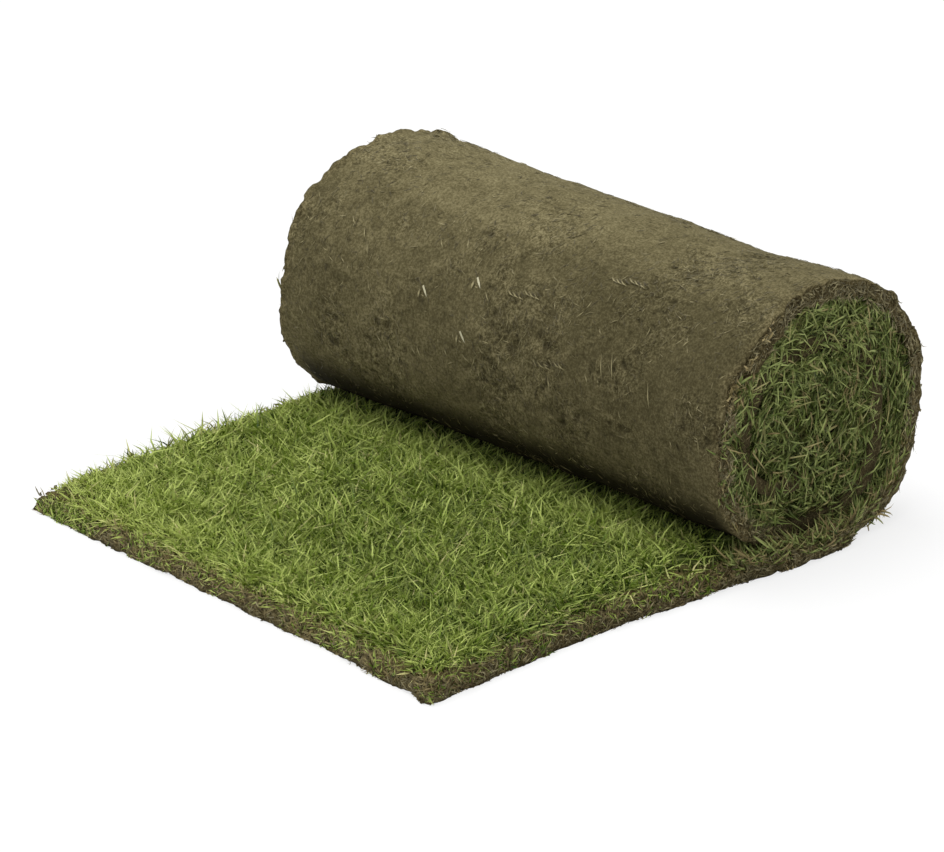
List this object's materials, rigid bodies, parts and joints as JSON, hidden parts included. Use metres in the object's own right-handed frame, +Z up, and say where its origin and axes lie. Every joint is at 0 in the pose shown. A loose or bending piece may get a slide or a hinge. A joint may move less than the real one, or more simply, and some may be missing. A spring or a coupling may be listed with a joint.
{
  "type": "roll of turf",
  "caption": "Strip of turf rolled up with its soil side out, one end unrolled flat as a grassy tongue in front of the roll.",
  "frame": {"origin": "on the floor, under the middle of the whole roll and its tongue", "axes": "+X along the roll, tongue towards -Y, +Z up"},
  "size_m": [0.61, 0.678, 0.277],
  "materials": {
    "soil": "matt, crumbly soil bound by fine roots",
    "grass": "fine blades of living grass"
  },
  "bodies": {
    "root": {"soil_mat": "soil", "grass_sward": "grass"}
  },
  "joints": []
}
